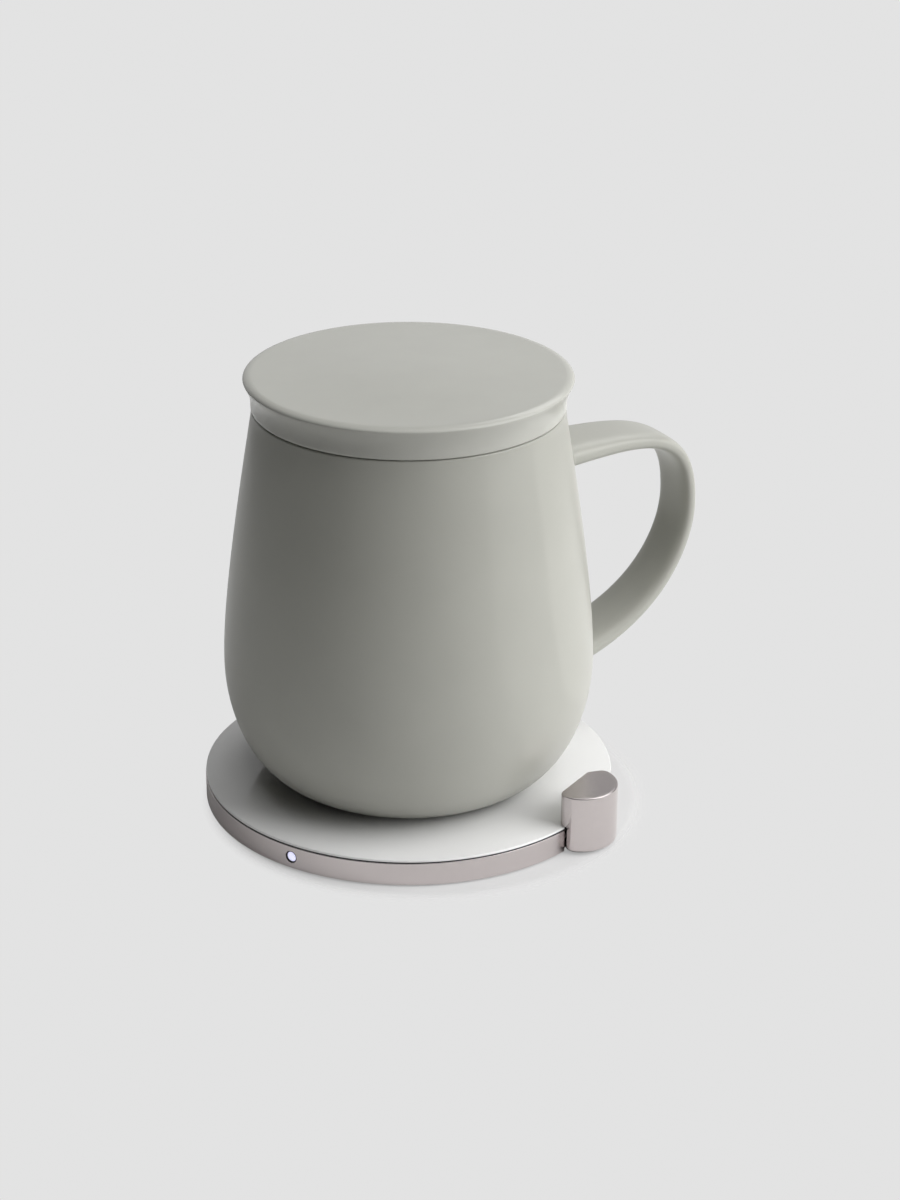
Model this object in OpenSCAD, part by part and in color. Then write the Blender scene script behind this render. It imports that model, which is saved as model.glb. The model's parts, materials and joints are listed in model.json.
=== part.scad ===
// Self-heating mug on its round warming pad, with a low-crowned lid.
// The mug stands on the pad, the lid stands on the mug, and both lift off.
// Millimetres, +Z up, origin on the desk under the middle of the pad, +X towards the handle.

/* [Mug] */
// Height of the mug, foot to rim
mug_h = 93.6; // [88:0.2:100]
// Largest outer radius of the mug
belly_r = 44.7; // [42:0.1:46]
// Height of the largest radius above the foot
belly_z = 30; // [27:0.5:33]
// Outer radius at the rim
rim_r = 36.75; // [35.5:0.05:37.1]
// Inward lean of the wall at the rim, in mm per mm of height
rim_lean = 0.168; // [0.12:0.002:0.2]
// Length over which the wall holds the lean of the rim
rim_pull = 24; // [18:1:28]
// Length over which the wall stays upright above the belly
belly_pull = 14; // [10:1:18]
// Radius at which the bowl runs into the underside
bowl_r = 26.45; // [25.6:0.05:27.4]
// Thickness of the mug wall
wall_t = 3.8; // [3.2:0.1:4.4]
// Thickness of the mug base, foot plane to inside floor
base_t = 5.4; // [4.8:0.1:7]
// Outer radius of the foot ring
foot_r = 28; // [27.2:0.1:29]
// Width of the foot ring
foot_w = 2.5; // [1.8:0.1:3]
// Step from the foot ring up to the bowl
foot_h = 0.8; // [0.5:0.1:1.2]
// Rounding of the rim edges
rim_round = 0.7; // [0.4:0.1:1.2]

/* [Handle] */
// Distance of the outermost stretch of the handle from the axis of the mug
handle_reach = 76.4; // [72:0.1:82]
// Height of that outermost stretch above the foot
handle_mid_z = 56.5; // [54:0.1:60]
// Height of the upper root above the foot
handle_top_z = 75.4; // [72:0.1:78]
// Height of the lower root above the foot
handle_low_z = 21; // [18:0.1:24]
// Distance of the upper root from the axis, inside the wall
handle_top_x = 37; // [36:0.1:38]
// Distance of the lower root from the axis, inside the wall
handle_low_x = 40; // [39:0.1:41]
// Length over which the strap leaves the upper root
handle_top_lead = 24.4; // [20:0.1:28]
// Rise of the strap over that length
handle_top_rise = 1; // [0:0.1:4]
// Length over which the strap stays upright above its outermost stretch
handle_top_pull = 21.8; // [18:0.1:24]
// Length over which the strap stays upright below its outermost stretch
handle_low_pull = 9.7; // [8:0.1:14]
// Length over which the strap leaves the lower root
handle_low_lead = 29.4; // [25:0.1:31]
// Rise of the strap over that length
handle_low_rise = 6.4; // [5:0.1:9]
// Width of the strap
handle_w = 13.7; // [11:0.1:15]
// Thickness of the strap
handle_t = 3.7; // [3:0.1:4.5]
// Widening of the strap at its upper root
handle_top_flare = 5.8; // [0:0.1:7]
// Widening of the strap at its lower root
handle_low_flare = 3.6; // [0:0.1:6]
// Thickening of the strap at its roots
handle_flare_t = 1.8; // [0:0.1:3]
// Share of the strap's run over which it widens at each root
handle_flare_run = 0.42; // [0.2:0.01:0.48]

/* [Heater of the mug] */
// Thickness of the heating film under the mug base
film_t = 0.3; // [0.2:0.05:0.5]
// Thickness of the cover sheet below the film
film_cover_t = 0.9; // [0.6:0.1:1.2]
// Air left between the cover sheet and the pad
film_air = 0.4; // [0.3:0.1:0.6]

/* [Lid] */
// Height of the lip above the rim of the mug
lid_h = 7.7; // [7:0.1:9]
// Outer radius of the lip
lid_r = 38.75; // [38.3:0.05:40]
// Outer radius of the band below the lip
band_r = 37; // [36.8:0.05:37.8]
// Rounding of the lip
lip_round = 0.5; // [0.3:0.1:0.9]
// Rounding at the foot of the band
band_round = 0.6; // [0.3:0.1:0.8]
// Height of the straight foot of the band
band_foot = 1; // [0.9:0.05:1.2]
// Length over which the band stays upright above its foot
band_pull = 2.6; // [1.2:0.1:2.8]
// Length over which the lip stays upright below its rounding
lip_pull = 2.4; // [1.6:0.1:2.8]
// Height of the crown above the lip
crown_h = 1; // [0.2:0.1:2]
// Radius of the crown
crown_r = 29; // [24:0.5:34]
// Thickness of the lid below the level of the lip
lid_t = 3.2; // [2.6:0.1:3.6]
// Length of the spigot that enters the mug
spigot_h = 5; // [4.2:0.1:7]
// Wall of the spigot
spigot_t = 3; // [2.4:0.1:3.6]
// Gap between the spigot and the mug
spigot_gap = 1; // [0.8:0.1:1.4]
// Height of the seal around the spigot
seal_h = 1.4; // [1:0.1:1.8]
// Depth to which the seal is let into the spigot
seal_bite = 1; // [0.6:0.1:1.2]

/* [Pad] */
// Outer radius of the pad
pad_r = 50; // [45:0.5:60]
// Height of the metal ring
ring_h = 5.6; // [5.5:0.1:6.4]
// Wall of the metal ring
ring_t = 2.2; // [2.1:0.1:2.6]
// Rounding of the ring edges
ring_round = 0.2; // [0.1:0.05:0.3]
// Thickness of the dark gasket between ring and top plate
gasket_t = 0.3; // [0.2:0.05:0.5]
// Edge thickness of the top plate
plate_t = 0.6; // [0.5:0.05:0.9]
// Setback of the top plate edge from the ring face
plate_inset = 0.1; // [0.05:0.05:0.4]
// Depth of the top plate inside the ring
plate_step = 1; // [0.8:0.1:1.1]
// Thickness of the bottom cover
cover_t = 1.1; // [1:0.05:1.2]
// Ledge of the ring over the bottom cover
cover_ledge = 1.1; // [0.8:0.1:1.2]
// Distance of the foot pad's edge from the ring face
foot_margin = 7; // [6:0.1:8]
// Thickness of the foot pad
pad_foot_t = 0.8; // [0.7:0.05:0.9]
// Height at which the foot pad holds the ring off the desk
pad_stand = 0.4; // [0.3:0.05:0.5]

/* [Pad works] */
// Inner radius of the coil
coil_in = 10; // [9.5:0.1:11]
// Turns of the coil
coil_turns = 13; // [8:1:13]
// Width of the wound strip
coil_w = 1; // [0.8:0.05:1]
// Distance from turn to turn
coil_pitch = 1.45; // [1.42:0.01:1.48]
// Thickness of the ferrite disc
ferrite_t = 0.5; // [0.4:0.05:0.6]
// Thickness of the insulation sheet over the coil
sheet_t = 0.15; // [0.1:0.05:0.2]
// Thickness of the coil carrier floor
carrier_t = 0.4; // [0.3:0.05:0.5]
// Thickness of the circuit board
board_t = 0.6; // [0.5:0.05:0.7]
// Room between the circuit board and the ring
board_gap = 2.4; // [2.2:0.1:3]
// Height of the rib that carries the circuit board
rib_h = 0.4; // [0.35:0.05:0.5]
// Air between the circuit board and the coil carrier
board_air = 0.6; // [0.5:0.05:0.7]
// Radius of the screw bosses
boss_r = 2.5; // [2.2:0.1:2.7]
// Radius of the screw shanks
screw_r = 0.9; // [0.8:0.05:1]
// Radius of the screw heads
screw_head_r = 1.8; // [1.6:0.05:1.9]
// Height of the screw heads
screw_head_h = 0.7; // [0.5:0.05:0.8]
// Room around each screw boss in the circuit board
boss_gap = 0.3; // [0.2:0.05:0.5]
// Depth of the screw thread left free at its tip
screw_tip = 0.3; // [0.2:0.05:0.5]
// Thickness of the rim around the coil carrier
carrier_rim_t = 0.8; // [0.6:0.05:1]
// Radius of the coil leads
lead_r = 0.4; // [0.3:0.05:0.45]
// Radius of the temperature sensor
sensor_r = 1.6; // [1.2:0.1:2]
// Height of the temperature sensor
sensor_h = 1.1; // [0.8:0.1:1.4]
// Side of the square driver chips
chip_s = 5; // [4:0.1:5.4]
// Height of the driver chips
chip_h = 0.9; // [0.7:0.05:1.1]
// Radius of the capacitors
cap_r = 2; // [1.5:0.1:2.2]
// Height of the capacitors
cap_h = 2.2; // [1.6:0.1:2.5]

/* [Status light] */
// Direction of the light, counted from the handle
led_angle = -151.4; // [-156:0.2:-147]
// Height of the light above the desk
led_z = 3.3; // [3.2:0.05:3.6]
// Radius of the light pipe
led_r = 1.2; // [0.9:0.05:1.25]
// Wall of the bezel around the light pipe
bezel_t = 0.25; // [0.2:0.05:0.35]
// Length by which the bezel stands inside the ring
bezel_tail = 0.6; // [0.3:0.1:1]

/* [Power inlet] */
// Direction of the inlet housing, counted from the handle
nub_angle = -61; // [-64:0.5:-60]
// Height of the inlet housing above the desk
nub_h = 15.2; // [14.8:0.1:18]
// Radius of the inlet housing
nub_r = 8.8; // [8.6:0.05:9.2]
// Depth by which its flat side stands inside the ring face
nub_inset = 1.2; // [1:0.05:1.3]
// Reach of its upper part over the top plate
nub_hook = 1.4; // [1:0.1:1.6]
// Rounding of its upright corners
nub_corner = 2.2; // [1.6:0.1:2.3]
// Wall of the inlet housing
nub_wall = 1; // [0.8:0.05:1.05]
// Gap between the housing and the ring, filled by a gasket at the flat side
nub_gap = 0.3; // [0.25:0.05:0.35]
// Height of the base that closes the housing
nub_base_t = 1.1; // [0.9:0.05:1.1]
// Long side of the socket
socket_w = 8.94; // [8.9:0.01:9]
// Short side of the socket
socket_t = 3.2; // [3.1:0.05:3.2]
// Depth of the socket
socket_l = 7.3; // [6.8:0.1:7.6]
// Sheet thickness of the socket
socket_wall = 0.3; // [0.2:0.05:0.35]
// Thickness of the contact tongue
tongue_t = 0.7; // [0.6:0.05:0.8]
// Thickness of the inlet board
inlet_board_t = 0.8; // [0.6:0.05:0.9]
// Distance of the housing screws from the middle of the housing
nub_screw_u = 5.2; // [5:0.05:5.3]
// Radius of the screw bosses in the housing
nub_boss_r = 1.5; // [1.4:0.05:1.5]
// Reach of the screw bosses into the housing
nub_boss_l = 2.7; // [2:0.1:3]
// Radius of the housing screws
nub_screw_r = 0.8; // [0.7:0.05:0.9]
// Length of the housing screws past their seat
nub_screw_l = 3.8; // [3:0.1:4]
// Radius of the heads of the housing screws
nub_head_r = 1.4; // [1.2:0.05:1.4]
// Height of the heads of the housing screws
nub_head_h = 0.9; // [0.6:0.05:1]
// Thickness of the ring under those heads
nub_seat_t = 1; // [0.9:0.05:1.1]
// Thickness of the roof of the housing
nub_roof_t = 1.2; // [1:0.05:1.3]
// Distance of the socket's mouth from the far end of the housing
socket_setback = 1.3; // [1.2:0.05:1.6]
// Width of the inlet board
inlet_board_w = 9.6; // [8.6:0.1:9.8]
// Width of the opening for the power wires
window_w = 5.6; // [4.4:0.1:6]
// Height of the opening for the power wires
window_h = 2; // [1.6:0.1:2.2]
// Length of the power wires inside the pad
wire_l = 5; // [4.5:0.1:6]
// Radius of the power wires
wire_r = 0.5; // [0.4:0.05:0.5]

/* [Fits] */
// Gap of curved faces that part when something is lifted
run_gap = 0.3; // [0.25:0.05:0.5]
// Gap of parts that stay together
fit = 0.05; // [0.02:0.01:0.08]

/* [Hidden] */
$fn = 96;
steps = 14;
eps = 0.01;

// Levels above the desk
cover_top = pad_stand + cover_t;
ring_top = pad_stand + ring_h;
plate_z = ring_top + gasket_t;
pad_h = plate_z + plate_t;
plate_low = plate_z - plate_step;
board_z = cover_top + rib_h;
board_top = board_z + board_t;
carrier_z = board_top + board_air;
ferrite_z = carrier_z + carrier_t;
coil_z = ferrite_z + ferrite_t + fit;
sheet_z = plate_low - sheet_t;
coil_h = sheet_z - fit - coil_z;
rim_z = pad_h + mug_h;

// Radii of the pad
ring_in = pad_r - ring_t;
cover_r = ring_in + cover_ledge - 2 * fit;
step_r = ring_in - 4 * fit;
board_r = ring_in - board_gap;
pad_foot_r = pad_r - foot_margin;
coil_out = coil_in + coil_turns * coil_pitch;
lead_in_r = coil_in - coil_w / 2 - lead_r - fit;
lead_out_r = coil_out + coil_w / 2 + lead_r + fit;
carrier_in = coil_in - coil_w / 2;
carrier_r = lead_out_r + lead_r + 2 * fit + carrier_rim_t;
screw_ring_r = (carrier_r + board_r) / 2;
boss_z = cover_top + screw_head_h;
pad_recess = pad_foot_t - pad_stand;
screw_seat = pad_stand + pad_recess + screw_head_h;
led_hole_r = led_r + bezel_t + 2 * fit;

// Radii of the mug and its lid
rim_in = rim_r - wall_t;
recess_r = foot_r - foot_w;
recess_h = film_t + film_cover_t + film_air;
spigot_r = rim_in - spigot_gap;
seal_r = rim_in - run_gap;
seal_top = -(spigot_h - seal_h) / 2;

// The inlet housing in its own frame: x outwards from its flat side, y along it
nub_flat = pad_r - nub_inset;
nub_screw_z = cover_top + nub_boss_r + fit;
nub_seat = -nub_gap - nub_seat_t;
socket_x = nub_wall + 3 * fit + socket_t / 2;
socket_z = nub_screw_z + nub_boss_r + 2 * fit + socket_w / 2;
socket_mouth = nub_r - socket_setback;
inlet_board_x = socket_x + socket_t / 2;
nub_roof = nub_h - nub_roof_t;
wire_z = board_top + wire_r + fit;

// Point of a cubic curve with four control points
function bez(p, t) =
  pow(1 - t, 3) * p[0] + 3 * pow(1 - t, 2) * t * p[1] + 3 * (1 - t) * t * t * p[2] + t * t * t * p[3];

// Points of a round stretch, the last one left to the next stretch
function arc(x, y, r, a0, a1, n) =
  [for (k = [0:n - 1]) let (a = a0 + (a1 - a0) * k / n) [x + r * cos(a), y + r * sin(a)]];

function reversed(p) = [for (k = [len(p) - 1:-1:0]) p[k]];

// Wall from belly to rim, for a face at the given belly and rim radius
function wall_curve(b, r, top) =
  [for (k = [1:steps])
    bez([[b, belly_z], [b, belly_z + belly_pull], [r + rim_lean * rim_pull, top - rim_pull], [r, top]],
      k / steps)];

// Bowl from its lowest point to the belly, a stretch of an ellipse
function bowl_curve(b, low, a_end) =
  [for (k = [0:steps])
    let (a = a_end * (1 - k / steps))
    [bowl_r + (b - bowl_r) * cos(a), belly_z - (belly_z - low) * sin(a)]];

outer_face = concat(
  bowl_curve(belly_r, 0, asin((belly_z - foot_h) / belly_z)),
  wall_curve(belly_r, rim_r, mug_h - rim_round));
inner_face = concat(
  bowl_curve(belly_r - wall_t, base_t, 90),
  wall_curve(belly_r - wall_t, rim_in, mug_h - rim_round));

module on_pad() {
  translate([0, 0, pad_h]) children();
}

module mug_body() {
  rim = concat(
    arc(rim_r - rim_round, mug_h - rim_round, rim_round, 15, 90, 5),
    [[rim_r - rim_round, mug_h], [rim_in + rim_round, mug_h]],
    reversed(arc(rim_in + rim_round, mug_h - rim_round, rim_round, 165, 90, 5)));
  foot = [[0, recess_h], [recess_r, recess_h], [recess_r, 0], [foot_r, 0], [foot_r, foot_h]];
  color([0.62, 0.62, 0.58])
    on_pad() rotate_extrude()
      polygon(concat(foot, outer_face, rim, reversed(inner_face), [[0, base_t]]));
}

// Centreline of the handle, from the upper root round to the lower one
handle_top_curve = [[handle_top_x, handle_top_z],
  [handle_top_x + handle_top_lead, handle_top_z + handle_top_rise],
  [handle_reach, handle_mid_z + handle_top_pull],
  [handle_reach, handle_mid_z]];
handle_low_curve = [[handle_reach, handle_mid_z],
  [handle_reach, handle_mid_z - handle_low_pull],
  [handle_low_x + handle_low_lead, handle_low_z + handle_low_rise],
  [handle_low_x, handle_low_z]];
handle_n = 22;
handle_m = 24;
function handle_at(s) = s < 0.5 ? bez(handle_top_curve, 2 * s) : bez(handle_low_curve, 2 * s - 1);
function handle_dir(s) =
  let (d = handle_at(min(1, s + 0.01)) - handle_at(max(0, s - 0.01))) d / norm(d);
// How far the strap has spread at a run s away from a root, 1 at the root and 0 beyond the flare
function handle_root(s) = pow(max(0, 1 - s / handle_flare_run), 2);
// Ring of the strap: a rounded flat section square to the centreline
function handle_ring(s) =
  let (c = handle_at(s), d = handle_dir(s), top = handle_root(s), low = handle_root(1 - s),
    w = (handle_w + handle_top_flare * top + handle_low_flare * low) / 2,
    t = (handle_t + handle_flare_t * (top + low)) / 2)
  [for (k = [0:handle_m - 1])
    let (a = 360 * k / handle_m,
      y = w * sign(cos(a)) * pow(abs(cos(a)), 0.5),
      h = t * sign(sin(a)) * pow(abs(sin(a)), 0.8))
    [c[0] + h * d[1], y, c[1] - h * d[0]]];

module mug_handle() {
  rings = 2 * handle_n;
  pts = [for (k = [0:rings]) each handle_ring(k / rings)];
  side = [for (k = [0:rings - 1]) for (j = [0:handle_m - 1])
    let (a = k * handle_m + j, b = k * handle_m + (j + 1) % handle_m)
    each [[a, b, b + handle_m], [a, b + handle_m, a + handle_m]]];
  ends = [[for (j = [handle_m - 1:-1:0]) j], [for (j = [0:handle_m - 1]) rings * handle_m + j]];
  color([0.62, 0.62, 0.58])
    on_pad() difference() {
      polyhedron(points = pts, faces = concat(side, ends), convexity = 4);
      rotate_extrude() polygon(concat([[0, foot_h]], outer_face, [[0, mug_h - rim_round]]));
    }
}

module heating_film() {
  color([0.15, 0.15, 0.16])
    on_pad() translate([0, 0, recess_h - film_t]) cylinder(r = recess_r - 2 * fit, h = film_t);
}

module film_cover() {
  color([0.5, 0.5, 0.48])
    on_pad() translate([0, 0, film_air]) cylinder(r = recess_r - 2 * fit, h = film_cover_t);
}

// Top face of the lid, a low crown that levels out before the lip
function crown(r) = lid_h + (r < crown_r ? crown_h * (0.5 + 0.5 * cos(180 * r / crown_r)) : 0);

module lid() {
  flare = [[band_r, band_foot], [band_r, band_foot + band_pull],
    [lid_r, lid_h - lip_round - lip_pull], [lid_r, lid_h - lip_round]];
  band = concat(
    arc(band_r - band_round, band_round, band_round, -90, 0, 5),
    [for (k = [0:steps]) bez(flare, k / steps)],
    arc(lid_r - lip_round, lid_h - lip_round, lip_round, 15, 90, 5));
  top = [for (k = [0:steps]) let (r = (lid_r - lip_round) * (1 - k / steps)) [r, crown(r)]];
  roof = lid_h - lid_t;
  spigot_in = spigot_r - spigot_t;
  groove_r = spigot_r - seal_bite;
  groove_top = seal_top + fit;
  groove_low = seal_top - seal_h - fit;
  under = [[0, roof], [spigot_in, roof], [spigot_in, -spigot_h], [spigot_r, -spigot_h],
    [spigot_r, groove_low], [groove_r, groove_low], [groove_r, groove_top], [spigot_r, groove_top],
    [spigot_r, 0]];
  color([0.64, 0.64, 0.6])
    translate([0, 0, rim_z]) rotate_extrude() polygon(concat(under, band, top));
}

module lid_seal() {
  color([0.85, 0.85, 0.83])
    translate([0, 0, rim_z + seal_top - seal_h])
      difference() {
        cylinder(r = seal_r, h = seal_h);
        translate([0, 0, -1]) cylinder(r = spigot_r - seal_bite + fit, h = seal_h + 2);
      }
}

module at_nub() {
  rotate([0, 0, nub_angle]) translate([nub_flat, 0, 0]) children();
}

// Outline of the inlet housing, moved inwards by the given amount, its flat side carried on by the hook
function nub_outline(inset, hook = 0) =
  let (r = nub_r - inset, c = max(nub_corner - inset, 0.15), x = inset + c,
    y = sqrt(pow(r - c, 2) - x * x), a = atan2(y, x))
  concat(
    arc(0, 0, r, -a, a, 36),
    arc(x, y, c, a, 90, 3),
    hook > 0 ? [[x, y + c]] : [],
    arc(x - hook, y, c, 90, 180, 4),
    [[inset - hook, y], [inset - hook, -y]],
    arc(x - hook, -y, c, 180 + 90 / 4, 270, 3),
    hook > 0 ? [[x - hook, -y - c]] : [],
    arc(x, -y, c, 270, 360 - a, 3));

// Room that the inlet housing takes out of the edge of the pad
module nub_room() {
  at_nub() translate([0, 0, -1]) linear_extrude(pad_h + 3) polygon(nub_outline(-nub_gap));
}

module at_screws() {
  for (k = [0:3])
    rotate([0, 0, nub_angle + 45 + 90 * k]) translate([screw_ring_r, 0, 0]) children();
}

module top_plate() {
  edge_r = pad_r - plate_inset;
  edge_round = plate_t * 0.6;
  color([0.93, 0.93, 0.92])
    difference() {
      union() {
        rotate_extrude() polygon(concat(
          [[0, plate_low], [step_r, plate_low], [step_r, plate_z], [edge_r, plate_z]],
          arc(edge_r - edge_round, pad_h - edge_round, edge_round, 0, 90, 6),
          [[edge_r - edge_round, pad_h], [0, pad_h]]));
        at_screws() translate([0, 0, boss_z]) cylinder(r = boss_r, h = plate_low - boss_z + eps);
      }
      at_screws() translate([0, 0, boss_z - 1]) cylinder(r = screw_r + fit, h = plate_low - boss_z + 1);
      nub_room();
    }
}

module rim_gasket() {
  color([0.06, 0.06, 0.07])
    difference() {
      translate([0, 0, ring_top]) cylinder(r = pad_r - ring_round, h = gasket_t);
      translate([0, 0, ring_top - 1]) cylinder(r = step_r + fit, h = gasket_t + 2);
      nub_room();
    }
}

module at_led() {
  rotate([0, 0, led_angle]) translate([0, 0, led_z]) rotate([0, 90, 0]) children();
}

module at_nub_screws() {
  at_nub() for (s = [-1, 1])
    translate([0, s * nub_screw_u, nub_screw_z]) rotate([0, 90, 0]) children();
}

// Way of the power wires from the housing into the pad
module wire_window() {
  at_nub() translate([-wire_l, -window_w / 2, wire_z - window_h / 2])
    cube([wire_l + nub_wall + eps, window_w, window_h]);
}

module rim_ring() {
  color([0.72, 0.68, 0.68])
    difference() {
      rotate_extrude() polygon(concat(
        [[ring_in, cover_top], [cover_r + 2 * fit, cover_top], [cover_r + 2 * fit, pad_stand]],
        arc(pad_r - ring_round, pad_stand + ring_round, ring_round, -90, 0, 4),
        arc(pad_r - ring_round, ring_top - ring_round, ring_round, 0, 90, 4),
        [[pad_r - ring_round, ring_top], [ring_in, ring_top]]));
      at_led() cylinder(r = led_hole_r, h = pad_r + 1);
      at_nub_screws() translate([0, 0, nub_seat - 5]) cylinder(r = nub_screw_r + 3 * fit, h = 8);
      at_nub_screws() translate([0, 0, nub_seat - 5]) cylinder(r = nub_head_r + 4 * fit, h = 5);
      wire_window();
      nub_room();
    }
}

module bottom_cover() {
  color([0.35, 0.35, 0.36])
    difference() {
      union() {
        translate([0, 0, pad_stand]) cylinder(r = cover_r, h = cover_t);
        translate([0, 0, cover_top - eps])
          difference() {
            cylinder(r = board_r - 1, h = rib_h + eps);
            translate([0, 0, -1]) cylinder(r = board_r - 2, h = rib_h + 3);
          }
        at_screws() translate([0, 0, cover_top - eps])
          cylinder(r = boss_r, h = boss_z - cover_top + eps);
      }
      translate([0, 0, -1]) cylinder(r = pad_foot_r + 2 * fit, h = pad_stand + pad_recess + 1);
      at_screws() translate([0, 0, -1]) cylinder(r = screw_r + 4 * fit, h = boss_z + 2);
      at_screws() translate([0, 0, -1]) cylinder(r = screw_head_r + 2 * fit, h = screw_seat + 1);
      nub_room();
    }
}

module foot_pad() {
  color([0.2, 0.2, 0.2]) cylinder(r = pad_foot_r, h = pad_foot_t);
}

module cover_screws() {
  color([0.6, 0.6, 0.62])
    at_screws() {
      translate([0, 0, pad_foot_t]) cylinder(r = screw_head_r, h = screw_seat - pad_foot_t);
      translate([0, 0, pad_foot_t]) cylinder(r = screw_r, h = plate_low - screw_tip - pad_foot_t);
    }
}

// Flat spiral, wound as one strip from the inside outwards
coil_n = 24 * coil_turns;
function coil_side(off) =
  [for (k = [0:coil_n])
    let (a = 360 * k / 24, r = coil_in + coil_pitch * k / 24 + off) [r * cos(a), r * sin(a)]];
function coil_gaps() =
  let (p = coil_side(coil_w / 2), q = coil_side(-coil_w / 2))
  [for (k = [0:coil_n - 24]) norm(q[k + 24] - p[k])];

module induction_coil() {
  echo(str("least gap between turns of the coil: ", min(coil_gaps())));
  color([0.72, 0.42, 0.22])
    translate([0, 0, coil_z])
      linear_extrude(coil_h)
        polygon(concat(coil_side(coil_w / 2), reversed(coil_side(-coil_w / 2))));
}

module at_leads() {
  translate([lead_in_r, 0, 0]) children();
  rotate([0, 0, 360 * coil_turns]) translate([lead_out_r, 0, 0]) children();
}

module coil_leads() {
  color([0.72, 0.42, 0.22])
    at_leads() translate([0, 0, board_top]) cylinder(r = lead_r, h = coil_z + coil_h - board_top);
}

module coil_carrier() {
  color([0.88, 0.88, 0.84])
    difference() {
      translate([0, 0, carrier_z]) cylinder(r = carrier_r, h = plate_low - carrier_z);
      translate([0, 0, ferrite_z]) cylinder(r = carrier_r - carrier_rim_t, h = plate_low);
      translate([0, 0, carrier_z - 1]) cylinder(r = carrier_in, h = plate_low);
      at_leads() translate([0, 0, carrier_z - 1]) cylinder(r = lead_r + 2 * fit, h = carrier_t + 2);
    }
}

module ferrite_disc() {
  color([0.18, 0.18, 0.2])
    translate([0, 0, ferrite_z])
      difference() {
        cylinder(r = lead_out_r - lead_r - fit, h = ferrite_t);
        translate([0, 0, -1]) cylinder(r = carrier_in, h = ferrite_t + 2);
      }
}

module insulation_sheet() {
  color([0.8, 0.6, 0.2])
    translate([0, 0, sheet_z])
      difference() {
        cylinder(r = carrier_r - carrier_rim_t - 2 * fit, h = sheet_t);
        translate([0, 0, -1]) cylinder(r = sensor_r + 4 * fit, h = sheet_t + 2);
      }
}

module circuit_board() {
  color([0.1, 0.35, 0.2])
    translate([0, 0, board_z])
      difference() {
        cylinder(r = board_r, h = board_t);
        at_screws() translate([0, 0, -1]) cylinder(r = boss_r + boss_gap, h = board_t + 2);
      }
}

module on_board(angle, r) {
  rotate([0, 0, nub_angle + angle]) translate([r, 0, board_top]) children();
}

module driver_chips() {
  color([0.08, 0.08, 0.09])
    for (a = [80, 100])
      on_board(a, screw_ring_r) translate([-chip_s / 2, -chip_s / 2, 0]) cube([chip_s, chip_s, chip_h]);
}

module capacitors() {
  color([0.55, 0.5, 0.3])
    for (a = [170, 180, 190]) on_board(a, screw_ring_r) cylinder(r = cap_r, h = cap_h);
}

// Temperature sensor in the middle of the coil, pressed against the top plate
module thermistor() {
  color([0.15, 0.15, 0.15])
    translate([0, 0, plate_low - sensor_h]) cylinder(r = sensor_r, h = sensor_h);
  color([0.7, 0.7, 0.7])
    for (s = [-1, 1])
      translate([s * sensor_r / 2, 0, board_top])
        cylinder(r = sensor_r / 6, h = plate_low - sensor_h - board_top + eps);
}

// Light, the pipe that carries it through the ring, and the dark bezel around the pipe
pipe_in = board_r + fit;
module status_led() {
  color([0.9, 0.9, 0.8])
    rotate([0, 0, led_angle])
      translate([board_r - led_r, -led_r, board_top]) cube([led_r, 2 * led_r, 2 * (led_z - board_top)]);
}

module light_pipe() {
  color([0.85, 0.88, 1])
    at_led() translate([0, 0, pipe_in]) cylinder(r = led_r, h = pad_r - 2 * fit - pipe_in);
}

module led_bezel() {
  color([0.05, 0.05, 0.06])
    at_led()
      difference() {
        translate([0, 0, ring_in - bezel_tail])
          cylinder(r = led_r + bezel_t + fit, h = ring_t + bezel_tail - fit);
        translate([0, 0, ring_in - 2]) cylinder(r = led_r + fit, h = ring_t + 4);
      }
}

// Slot-shaped outline, its long side along y
module slot(t, w) {
  square([t, w - t], center = true);
  for (s = [-1, 1]) translate([0, s * (w - t) / 2]) circle(r = t / 2);
}

// Stretch of the socket, from its mouth inwards
module socket_bar(t, w, from, to) {
  translate([socket_x, to, socket_z]) rotate([90, 0, 0]) linear_extrude(to - from) slot(t, w);
}

module inlet_shell() {
  color([0.72, 0.68, 0.68])
    difference() {
      at_nub() union() {
        difference() {
          union() {
            translate([0, 0, pad_stand]) linear_extrude(nub_h - pad_stand) polygon(nub_outline(0));
            translate([0, 0, pad_h + fit])
              linear_extrude(nub_h - pad_h - fit) polygon(nub_outline(0, nub_hook));
          }
          translate([0, 0, pad_stand - 1])
            linear_extrude(nub_roof - pad_stand + 1) polygon(nub_outline(nub_wall));
          socket_bar(socket_t + 4 * fit, socket_w + 4 * fit, nub_r / 2, nub_r + 2);
        }
        intersection() {
          translate([0, 0, pad_stand])
            linear_extrude(nub_h - pad_stand) polygon(nub_outline(nub_wall / 2));
          for (s = [-1, 1])
            translate([nub_wall / 2, s * nub_screw_u, nub_screw_z])
              rotate([0, 90, 0]) cylinder(r = nub_boss_r, h = nub_boss_l);
        }
      }
      at_nub_screws() translate([0, 0, -1]) cylinder(r = nub_screw_r + fit, h = nub_screw_l + 1);
      wire_window();
    }
}

module inlet_base() {
  color([0.2, 0.2, 0.21])
    at_nub() translate([0, 0, pad_stand])
      linear_extrude(nub_base_t) polygon(nub_outline(nub_wall + 2 * fit));
}

module inlet_board() {
  low = pad_stand + nub_base_t;
  color([0.1, 0.35, 0.2])
    at_nub() translate([inlet_board_x, -inlet_board_w / 2, low])
      cube([inlet_board_t, inlet_board_w, nub_roof - low]);
}

module usb_socket() {
  color([0.7, 0.7, 0.72])
    at_nub() difference() {
      socket_bar(socket_t, socket_w, socket_mouth - socket_l, socket_mouth);
      socket_bar(socket_t - 2 * socket_wall, socket_w - 2 * socket_wall,
        socket_mouth - socket_l + socket_wall, socket_mouth + 1);
    }
}

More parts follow.
